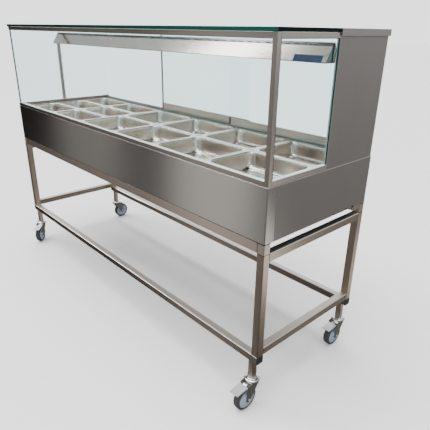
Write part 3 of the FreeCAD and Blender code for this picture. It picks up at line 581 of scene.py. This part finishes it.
def pane_mesh(name, low, high, clear_side, left_strip):
    """A chamfered box with its sheets, its edges and the edges on its clear side as materials 0, 1 and 2."""
    low, high = Vector(low), Vector(high)
    size = high - low
    thin = min(range(3), key=lambda axis: size[axis])
    bm = bmesh.new()
    bmesh.ops.create_cube(bm, size=1)
    bmesh.ops.scale(bm, vec=size, verts=bm.verts)
    bmesh.ops.translate(bm, vec=(low + high) / 2, verts=bm.verts)
    bmesh.ops.bevel(bm, geom=bm.edges[:], offset=PANE_CHAMFER, segments=1, affect="EDGES")
    strip_end = low.x + left_strip
    if left_strip:
        everything = bm.verts[:] + bm.edges[:] + bm.faces[:]
        bmesh.ops.bisect_plane(bm, geom=everything, plane_co=(strip_end, 0, 0), plane_no=(1, 0, 0))
    for face in bm.faces:
        face.normal_update()
        in_strip = face.calc_center_median().x < strip_end
        face.material_index = 0 if abs(face.normal[thin]) > SHEET_FACE and not in_strip else 1
        if clear_side and face.normal.dot(Vector(clear_side)) > SIDE_FACE:
            face.material_index = 2
    return mesh_from(bm, name)


def pane(name, low, high, body, node_names, edge="edge", sheet="rear_glass", clear_side=None, left_strip=0.0):
    """A glass pane with ground edges that show green, apart from those on its clear side.

    A left strip is as wide as the left edge shows through the glass.
    """
    mesh = pane_mesh(name, low, high, clear_side, left_strip)
    looks = (sheet, edge, "faint_edge") if clear_side else (sheet, edge)
    piece = finish_piece(name, mesh, body, looks)
    if node_names:
        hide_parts(*node_names)


END_LOW, END_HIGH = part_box("end_glass")
PANE_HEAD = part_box("front_glass")[1].z
POST_BACK = FRAME_LOW.y + FRAME_TUBE
# The end panes in front end at the middle of the cart, and the rear one starts after a gap.
END_MIDDLE = 0
END_GAP = 3 * MM
pane("pane_front", *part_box("front_glass"), "cart", ("front_glass",), sheet="glass", clear_side=DOWNWARDS,
     left_strip=EDGE_STRIP)
pane("pane_top", *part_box("top_glass"), "cart", ("top_glass",), edge="top_edge")
pane("pane_end_right", (END_HIGH.x - PANE, POST_BACK, END_LOW.z), (END_HIGH.x, END_MIDDLE, PANE_HEAD), "cart",
     ("end_glass",), edge="dark_edge", sheet="glass", clear_side=DOWNWARDS)
pane("pane_end_left", END_LOW, (END_LOW.x + PANE, END_MIDDLE, PANE_HEAD), "cart", (), edge="faint_edge")
pane("pane_end_rear", (END_LOW.x, END_MIDDLE + END_GAP, END_LOW.z),
     (END_LOW.x + PANE, END_HIGH.y, END_HIGH.z), "cart", (), edge="faint_edge")
pane("pane_door_middle", *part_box("door_glass_middle"), "door_middle", ("door_glass_middle",),
     clear_side=RIGHTWARDS, left_strip=EDGE_STRIP)
for leaf in ("left", "right"):
    node = f"door_glass_{leaf}"
    pane(f"pane_door_{leaf}", *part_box(node), f"door_{leaf}", (node,), edge="faint_edge")


# Food pans

LIP = 12 * MM
# Corner radius at the lip's outer edge and at its inner edge, and how fast it shrinks from there inwards.
LIP_CORNER = 20 * MM
WELL_CORNER = 39 * MM
CORNER_TAPER = 0.35
LEAST_CORNER = 6 * MM
# Steps of the inner section that are the bright lip and the floor, whose looks are painted lighter than the
# walls'.
LIP_ROWS = 4
FLOOR_ROWS = 2
PAN_LOOKS = ("pans", "lip", "pan_floor")
WALL_LOOK, LIP_LOOK, FLOOR_LOOK = range(len(PAN_LOOKS))
# Pan section from the lip's outer edge: distance inwards and height, in millimetres.
PAN_INSIDE = (
    (0.0, 0.5), (0.3, 1.2), (1.2, 1.8), (3.0, 2.1), (6.6, 2.1), (8.6, 2.1), (10.4, 1.8), (11.8, 0.9),
    (12.9, -0.9), (13.5, -4.0), (14.7, -14.0), (16.9, -32.0), (19.3, -50.0), (20.5, -55.0), (23.2, -59.6),
    (27.4, -62.8), (32.6, -64.0), (60.0, -63.6),
)
PAN_OUTSIDE = (
    (0.8, 0.02), (10.8, 0.0), (12.0, -0.8), (12.3, -4.0), (13.5, -14.0), (15.7, -32.0), (18.1, -50.0),
    (19.5, -56.0), (22.4, -61.0), (27.0, -64.2), (32.6, -65.0), (60.0, -64.7),
)


def pan_ring(bm, width, depth, inset, height):
    """One step of a pan's section, all round."""
    corner = LIP_CORNER + (WELL_CORNER - LIP_CORNER) * min(1.0, inset / LIP)
    corner -= CORNER_TAPER * max(0.0, inset - LIP)
    return ring(bm, width - 2 * inset, depth - 2 * inset, max(corner, LEAST_CORNER), height)


def inside_look(index, count):
    """The look of one step of the inner skin."""
    if index < LIP_ROWS:
        return LIP_LOOK
    return FLOOR_LOOK if index >= count - FLOOR_ROWS else WALL_LOOK


def pan_mesh(name, width, depth):
    """A pressed pan: both skins meet at the lip's edge."""
    bm = bmesh.new()
    edges = []
    for section in (PAN_INSIDE, PAN_OUTSIDE):
        inside = section is PAN_INSIDE
        rows = [pan_ring(bm, width, depth, inwards * MM, height * MM) for inwards, height in section]
        for index, (low, high) in enumerate(zip(rows, rows[1:])):
            for face in bridge(bm, low, high):
                face.material_index = inside_look(index, len(rows)) if inside else WALL_LOOK
        bm.faces.new(rows[-1]).material_index = FLOOR_LOOK if inside else WALL_LOOK
        edges.append(rows[0])
    bridge(bm, *edges)
    return mesh_from(bm, name)


# Pans of one depth share a mesh.
PAN_MESHES = {}
for node in [name for name in NODES if name.startswith("pan_") and name != "pan_bars"]:
    low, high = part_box(node)
    depth = round(high.y - low.y, 3)
    if depth not in PAN_MESHES:
        PAN_MESHES[depth] = pan_mesh(f"pan_{round(depth / MM)}", high.x - low.x, high.y - low.y)
    place = Matrix.Translation(((low.x + high.x) / 2, (low.y + high.y) / 2, COUNTER))
    dish = f"dish_{node.removeprefix('pan_')}"
    pan = finish_piece(dish, PAN_MESHES[depth], node, PAN_LOOKS, place, smooth=True)
    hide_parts(node)


# Meshes of the casters

# Sections of turned parts: distance along the axle or the swivel and radius, in millimetres. Those of the
# wheel start at its middle.
TYRE_SECTION = ((0, 50), (6, 49.9), (10, 49.2), (13, 47.4), (14.7, 44.6), (15, 42.4), (14.4, 40.4))
CENTRE_SECTION = (
    (11.6, 40.2), (12.4, 39.4), (12.4, 36.4), (11.4, 35.4), (8.8, 34.6), (7.8, 33), (7.8, 18), (8.6, 16),
    (12.6, 13.6), (17.8, 12), (18.6, 11.2), (18.6, 4.3),
)
RACE_SECTION = ((0, 4), (0, 17.2), (0.8, 18), (5.4, 18), (6.2, 17.2), (6.2, 4))
CAP_SECTION = ((-0.4, 0.4), (-0.4, 4.4), (0.9, 4.2), (1.8, 3.2), (2.2, 1.6), (2.3, 0.4))
WHEEL_STEPS = 72
RACE_STEPS = 48
CAP_STEPS = 24
# Head plate from the middle outwards: radius and height of its top, in millimetres.
HEAD_SECTION = ((8, 127.9), (13, 127.9), (18.5, 127.9), (20, 127.2), (26, 126.4), (28.4, 125), (29.7, 122.2))
HEAD_SHEET = 2.4 * MM
HEAD_STEPS = 48
# The ring of the head plate that has slots, their length and how far they lie apart, in steps.
SLOT_RING = 3
SLOT_STEPS = 6
SLOT_PITCH = 12
# Where the ribbed top of a pedal starts and ends, and its ribs. The margin before the first rib and after the
# last one is a share of their pitch.
TREAD_START = Vector((0, -41, 108)) * MM
TREAD_END = Vector((0, -96, 102)) * MM
TREAD_RIBS = 9
TREAD_MARGIN = 0.7
RIB_SIZE = Vector((34, 2.4, 1.4)) * MM
RIB_ROUND = 0.5 * MM


def in_metres(section):
    """A section's points in metres."""
    return [(one * MM, two * MM) for one, two in section]


def mirrored(section):
    """A wheel section with its other half."""
    half = in_metres(section)
    return half + [(-x, r) for x, r in reversed(half) if x > 0]


def is_plate(row, step):
    """Whether the head plate has sheet at a step of a ring."""
    slot = row == SLOT_RING and step % SLOT_PITCH < SLOT_STEPS
    return 0 <= row < len(HEAD_SECTION) - 1 and not slot


def slotted_plate(name):
    """A dished round plate with a ring of slots."""
    bm = bmesh.new()
    turns = [2 * math.pi * step / HEAD_STEPS for step in range(HEAD_STEPS)]
    top = {}
    bottom = {}
    for row, (radius, height) in enumerate(in_metres(HEAD_SECTION)):
        spots = [(radius * math.cos(turn), radius * math.sin(turn)) for turn in turns]
        top.update({(row, step): bm.verts.new((x, y, height)) for step, (x, y) in enumerate(spots)})
        low = height - HEAD_SHEET
        bottom.update({(row, step): bm.verts.new((x, y, low)) for step, (x, y) in enumerate(spots)})
    for row in range(len(HEAD_SECTION) - 1):
        for step in range(HEAD_STEPS):
            if not is_plate(row, step):
                continue
            after = (step + 1) % HEAD_STEPS
            corners = ((row, step), (row + 1, step), (row + 1, after), (row, after))
            bm.faces.new([top[corner] for corner in corners])
            bm.faces.new([bottom[corner] for corner in reversed(corners)])
            beside = ((row, step - 1), (row + 1, step), (row, after), (row - 1, step))
            for one, two, other in zip(corners, corners[1:] + corners[:1], beside):
                if not is_plate(*other):
                    bm.faces.new((top[one], bottom[one], bottom[two], top[two]))
    return mesh_from(bm, name)


def tread_mesh(name):
    """Raised ribs across a brake pedal, on its sloping top."""
    bm = bmesh.new()
    slope = math.atan2(TREAD_END.z - TREAD_START.z, TREAD_START.y - TREAD_END.y)
    pitches = TREAD_RIBS - 1 + 2 * TREAD_MARGIN
    for rib in range(TREAD_RIBS):
        spot = TREAD_START.lerp(TREAD_END, (rib + TREAD_MARGIN) / pitches)
        made = bmesh.ops.create_cube(bm, size=1)
        bmesh.ops.scale(bm, vec=RIB_SIZE, verts=made["verts"])
        bmesh.ops.rotate(bm, verts=made["verts"], matrix=Matrix.Rotation(-slope, 3, "X"))
        bmesh.ops.translate(bm, verts=made["verts"], vec=spot)
    bmesh.ops.bevel(bm, geom=bm.edges[:], offset=RIB_ROUND, segments=2, affect="EDGES")
    return mesh_from(bm, name)


TYRE = lathe("tyre_ring", mirrored(TYRE_SECTION), WHEEL_STEPS)
CENTRE = lathe("wheel_disc", mirrored(CENTRE_SECTION), WHEEL_STEPS)
RACE = lathe("swivel_race", in_metres(RACE_SECTION), RACE_STEPS)
CAP = lathe("axle_cap", in_metres(CAP_SECTION), CAP_STEPS)
HEAD = slotted_plate("head_plate")
TREAD = tread_mesh("pedal_ribs")


# Pieces of the casters

STUB_X = 976 * MM
STUB_Y = 289 * MM
AXLE_BACK = 36 * MM
AXLE_UP = 50 * MM
AXLE_END = 26 * MM
RACE_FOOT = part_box("caster_heads")[0].z
# Turns a part that lies along X upright.
UPRIGHT = Matrix.Rotation(math.radians(-90), 4, "Y")
# One CAD node holds the four head plates, so the piece of this corner replaces it.
FIRST_CORNER = "fr"


def wheel(corner, axle):
    """The tyre and the centre of a wheel."""
    body = f"wheel_{corner}"
    tyre = finish_piece(f"tyre_ring_{corner}", TYRE, body, ("tyre",), axle, smooth=True)
    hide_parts(f"tyre_{corner}")
    disc = finish_piece(f"wheel_disc_{corner}", CENTRE, body, ("wheel",), axle, smooth=True)
    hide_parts(f"wheel_centre_{corner}")


def axle_caps(corner, axle):
    """The bolt head and the nut of an axle."""
    for side, turn in (("outer", 0), ("inner", 180)):
        end = axle @ Matrix.Rotation(math.radians(turn), 4, "Z") @ Matrix.Translation((AXLE_END, 0, 0))
        name = f"axle_cap_{corner}_{side}"
        finish_piece(name, CAP, f"swivel_{corner}", ("bolt",), end, smooth=True)


def caster_head(corner, stub):
    """The swivel race and the head plate under a stub."""
    race = stub @ Matrix.Translation((0, 0, RACE_FOOT)) @ UPRIGHT
    finish_piece(f"swivel_race_{corner}", RACE, "cart", ("zinc",), race)
    head = finish_piece(f"head_plate_{corner}", HEAD, "cart", ("zinc",), stub)
    if corner == FIRST_CORNER:
        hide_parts("caster_heads")


for corner, (side_x, side_y, turn) in CORNERS.items():
    stub = Matrix.Translation((STUB_X * side_x, STUB_Y * side_y, 0))
    swivel = stub @ Matrix.Rotation(math.radians(turn), 4, "Z")
    axle = swivel @ Matrix.Translation((0, -AXLE_BACK, AXLE_UP))
    wheel(corner, axle)
    finish_piece(f"pedal_ribs_{corner}", TREAD, f"pedal_{corner}", ("pedal",), swivel)
    axle_caps(corner, axle)
    caster_head(corner, stub)


# Blank plate on the hood

HOOD_RIDGE = -12 * MM
PLATE_WIDTH = 115 * MM
PLATE_DEPTH = 25 * MM
PLATE_SHEET = 0.8 * MM
PLATE_CORNER = 1.6 * MM
PLATE_CHAMFER = 0.3 * MM
PLATE_RIGHT = 977 * MM
# Share of the plate's thickness below its chamfer, and its distance from the hood's lower edge.
PLATE_SIDE = 0.6
PLATE_GAP = 1.5 * MM


def badge():
    """A thin rounded plate on the lower part of the hood's front slope."""
    foot = Vector((0, HOOD_LOW.y, HOOD_LOW.z))
    slope = Vector((0, HOOD_RIDGE, HOOD_HIGH.z)) - foot
    lean = math.atan2(slope.z, slope.y)
    bm = bmesh.new()
    rows = []
    for inset, height in ((0, 0), (0, PLATE_SHEET * PLATE_SIDE), (PLATE_CHAMFER, PLATE_SHEET)):
        rows.append(ring(bm, PLATE_WIDTH - 2 * inset, PLATE_DEPTH - 2 * inset, PLATE_CORNER, height, steps=4))
    for low, high in zip(rows, rows[1:]):
        bridge(bm, low, high)
    bm.faces.new(rows[0])
    bm.faces.new(rows[-1])
    middle = foot + slope.normalized() * (PLATE_DEPTH / 2 + PLATE_GAP)
    place = Matrix.Translation((PLATE_RIGHT - PLATE_WIDTH / 2, middle.y, middle.z))
    place = place @ Matrix.Rotation(lean, 4, "X")
    finish_piece("hood_plate", mesh_from(bm, "hood_plate"), "cart", ("badge",), place)


badge()


# Floor and backdrop

FLOOR_HALF = 60
FLOOR_FLECKS = (60, 60, 60)
FLOOR_ROUGH = 0.8
WALL_FAR = 55.0
WALL_STEPS = 64
WALL_FLECKS = (0.2, 0.2, 0.2)
WALL_LIGHT = 2.2


def floor():
    """A wide pale floor. Steel mirrors the room's darker ground instead of it."""
    bm = bmesh.new()
    bmesh.ops.create_grid(bm, x_segments=1, y_segments=1, size=FLOOR_HALF)
    ground = into_scene("floor", mesh_from(bm, "floor"))
    material, shader = new_material("floor")
    flecks = noise(material, FLOOR_FLECKS, detail=4)
    tone = mix(material, flecks, (0.86, 0.86, 0.87), (0.92, 0.92, 0.93))
    link(material, tone, shader.inputs["Base Color"])
    shader.inputs["Roughness"].default_value = FLOOR_ROUGH
    ground.data.materials.append(material)
    ground.visible_glossy = False
    ground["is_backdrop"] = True


def backdrop():
    """A plain pale wall far away all round. Steel mirrors the room instead of it."""
    bm = bmesh.new()
    bmesh.ops.create_cone(bm, segments=WALL_STEPS, radius1=WALL_FAR, radius2=WALL_FAR, depth=2 * WALL_FAR)
    wall = into_scene("backdrop", mesh_from(bm, "backdrop"))
    material, shader = new_material("backdrop")
    flecks = noise(material, WALL_FLECKS, detail=2)
    tone = mix(material, flecks, (0.955, 0.965, 0.985), (0.97, 0.98, 1.0))
    link(material, tone, shader.inputs["Emission Color"])
    shader.inputs["Emission Strength"].default_value = WALL_LIGHT
    shader.inputs["Base Color"].default_value = (0, 0, 0, 1)
    wall.data.materials.append(material)
    wall.visible_glossy = False
    wall.visible_diffuse = False
    wall.visible_shadow = False
    wall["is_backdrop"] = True


# The room that steel mirrors, by direction

# A heading is the angle from -X towards -Y in radians, a height is the upward part of the direction, and a
# facing is its part towards the bright side.

BRIGHT_SIDE = (-0.77, 0.64, 0)
BRIGHT_WALL = (2.5, 2.5, 2.5)
DIM_WALL = (0.6, 0.6, 0.6)
GROUND = (0.23, 0.22, 0.21)
# Facings from the dim walls to the bright one, and heights from the ground to the walls.
WALL_FACINGS = (0.5, 0.95)
WALL_HEIGHTS = (-0.1, 0.0)
# Past all heights and facings.
BELOW_ALL = -2
ABOVE_ALL = 2
# Patches, each over the ones before: where each measure starts and ends, and how far it fades.
ROOM_PATCHES = (
    # Ground near the cart.
    {"colour": (0.08, 0.075, 0.07), "heights": (BELOW_ALL, -0.68, 0.18)},
    # Upright bands that the front panel mirrors.
    {"colour": (0.020, 0.019, 0.019), "headings": (0.02, 0.402, 0.012)},
    {"colour": (0.36, 0.345, 0.33), "headings": (0.412, 0.525, 0.012)},
    {"colour": (0.14, 0.135, 0.13), "headings": (0.54, 0.63, 0.012)},
    {"colour": (0.84, 0.81, 0.78), "headings": (0.68, 0.81, 0.05)},
    # Light near the floor behind the right end.
    {"colour": (2.2, 2.15, 2.08), "headings": (-2.62, -2.246, 0.01), "heights": (-0.5, -0.42, 0.05)},
    # Carpet on the left.
    {"colour": (0.06, 0.057, 0.054), "headings": (0.0, 0.55, 0.05), "heights": (BELOW_ALL, -0.47, 0.14)},
    # Ceiling away from the bright side.
    {"colour": (0.60, 0.60, 0.61), "heights": (0.4, ABOVE_ALL, 0.12), "facings": (BELOW_ALL, 0.45, 0.25)},
    # Light high on the left that the hood mirrors.
    {"colour": (24.0, 24.0, 24.0), "headings": (0.45, 0.485, 0.05), "heights": (0.42, 0.75, 0.08)},
)


def heading_of(world, direction):
    """The heading of a direction."""
    turned = add_node(world, "ShaderNodeVectorMath", operation="SCALE")
    turned.inputs["Scale"].default_value = -1
    link(world, direction, turned.inputs[0])
    parts = [along(world, turned.outputs["Vector"], axis) for axis in ("Y", "X")]
    return calculate(world, "ARCTAN2", *parts)


def facing_of(world, direction):
    """The facing of a direction."""
    facing = add_node(world, "ShaderNodeVectorMath", operation="DOT_PRODUCT")
    facing.inputs[1].default_value = BRIGHT_SIDE
    link(world, direction, facing.inputs[0])
    return facing.outputs["Value"]


def studio():
    """A soft room: dark ground, pale walls that are brightest behind the cart, and the patches over them."""
    world = bpy.data.worlds.new("studio")
    world.use_nodes = True
    direction = add_node(world, "ShaderNodeTexCoord").outputs["Generated"]
    height = along(world, direction, "Z")
    facing = facing_of(world, direction)
    measures = {"headings": heading_of(world, direction), "heights": height, "facings": facing}
    walls = mix(world, spread(world, facing, 0, 1, *WALL_FACINGS), DIM_WALL, BRIGHT_WALL)
    tone = mix(world, spread(world, height, 0, 1, *WALL_HEIGHTS), GROUND, walls)
    for patch in ROOM_PATCHES:
        shares = [between(world, measures[kind], *patch[kind]) for kind in measures if kind in patch]
        share = calculate(world, "MULTIPLY", *shares) if len(shares) > 1 else shares[0]
        tone = mix(world, share, tone, patch["colour"])
    link(world, tone, world.node_tree.nodes["Background"].inputs["Color"])
    bpy.context.scene.world = world


# Lamps

SUN_POWER = 4.6
SUN_SPREAD = math.radians(60)
SUN_TILT = (math.radians(8), math.radians(-6), 0)
LAMP_PLACE = Vector((2.9, -2.6, 2.9))
LAMP_TARGET = Vector((0, 0, 0.8))
LAMP_SIDE = 0.8
LAMP_POWER = 60


def sky():
    """Even light from above, as far as the floor is seen."""
    light = bpy.data.lights.new("sky", "SUN")
    light.energy = SUN_POWER
    light.angle = SUN_SPREAD
    into_scene("sky", light).rotation_euler = SUN_TILT


def lamp():
    """A soft lamp on the camera's side."""
    light = bpy.data.lights.new("camera_side", "AREA")
    light.shape = "RECTANGLE"
    light.size = LAMP_SIDE
    light.size_y = LAMP_SIDE
    light.energy = LAMP_POWER
    thing = into_scene("camera_side", light)
    thing.location = LAMP_PLACE
    thing.rotation_euler = (LAMP_TARGET - LAMP_PLACE).to_track_quat("-Z", "Y").to_euler()


# Camera fitted to the photograph: place in metres, angles in radians, focal length in pixels

CAMERA_PLACE = (1.8488, -1.2989, 1.3410)
CAMERA_YAW = -0.8251
CAMERA_PITCH = -0.3956
CAMERA_ROLL = 0.0156
CAMERA_FOCAL = 445.8
IMAGE_SIDE = 430
SENSOR = 36.0


def camera():
    """The camera that sees the cart as the photograph does."""
    data = bpy.data.cameras.new("camera")
    data.sensor_fit = "HORIZONTAL"
    data.sensor_width = SENSOR
    data.lens = CAMERA_FOCAL / IMAGE_SIDE * SENSOR
    forward = Vector((
        math.cos(CAMERA_PITCH) * math.sin(CAMERA_YAW),
        math.cos(CAMERA_PITCH) * math.cos(CAMERA_YAW),
        math.sin(CAMERA_PITCH),
    ))
    right = Vector((math.cos(CAMERA_YAW), -math.sin(CAMERA_YAW), 0))
    up = right.cross(forward)
    across = right * math.cos(CAMERA_ROLL) + up * math.sin(CAMERA_ROLL)
    upright = up * math.cos(CAMERA_ROLL) - right * math.sin(CAMERA_ROLL)
    turn = Matrix((across, upright, -forward)).transposed()
    thing = into_scene("camera", data)
    thing.matrix_world = Matrix.Translation(CAMERA_PLACE) @ turn.to_4x4()
    bpy.context.scene.camera = thing


studio()
floor()
backdrop()
sky()
lamp()
camera()

low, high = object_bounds()
